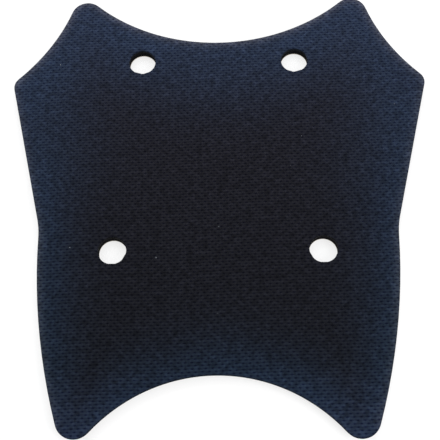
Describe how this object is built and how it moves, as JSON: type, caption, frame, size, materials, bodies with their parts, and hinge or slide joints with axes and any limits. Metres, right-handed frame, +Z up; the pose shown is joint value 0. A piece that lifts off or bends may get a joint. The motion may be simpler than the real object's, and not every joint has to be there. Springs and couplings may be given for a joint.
{
  "type": "snowboard stomp pad",
  "caption": "Flat die-cut grip pad with a woven relief, hollowed between its horns and between its legs, pierced by round holes, on an adhesive film and a split release liner.",
  "frame": {"origin": "middle of the outline's bounding rectangle, on the release liner's underside", "axes": "+Z up out of the grip face, +Y towards the two horns, +X to the right seen from above with the horns away from the viewer"},
  "size_m": [0.1604, 0.1754, 0.004],
  "materials": {
    "grip_sheet": "matte with a woven relief and a faint bluish sheen",
    "foam": "matte closed-cell foam, cut face",
    "adhesive": "tacky, slightly cloudy",
    "liner": "silicone-coated kraft, satin"
  },
  "bodies": {
    "pad": {"grip_sheet": "grip_sheet", "foam_core": "foam", "adhesive_film": "adhesive"},
    "liner_left": {"liner_left": "liner"},
    "liner_right": {"liner_right": "liner"}
  },
  "joints": [
    {"name": "liner_left_pull", "type": "slide", "parent": "pad", "child": "liner_left", "axis": [-1, 0, 0], "range_m": [0, 0.085]},
    {"name": "liner_right_pull", "type": "slide", "parent": "pad", "child": "liner_right", "axis": [1, 0, 0], "range_m": [0, 0.085]}
  ]
}
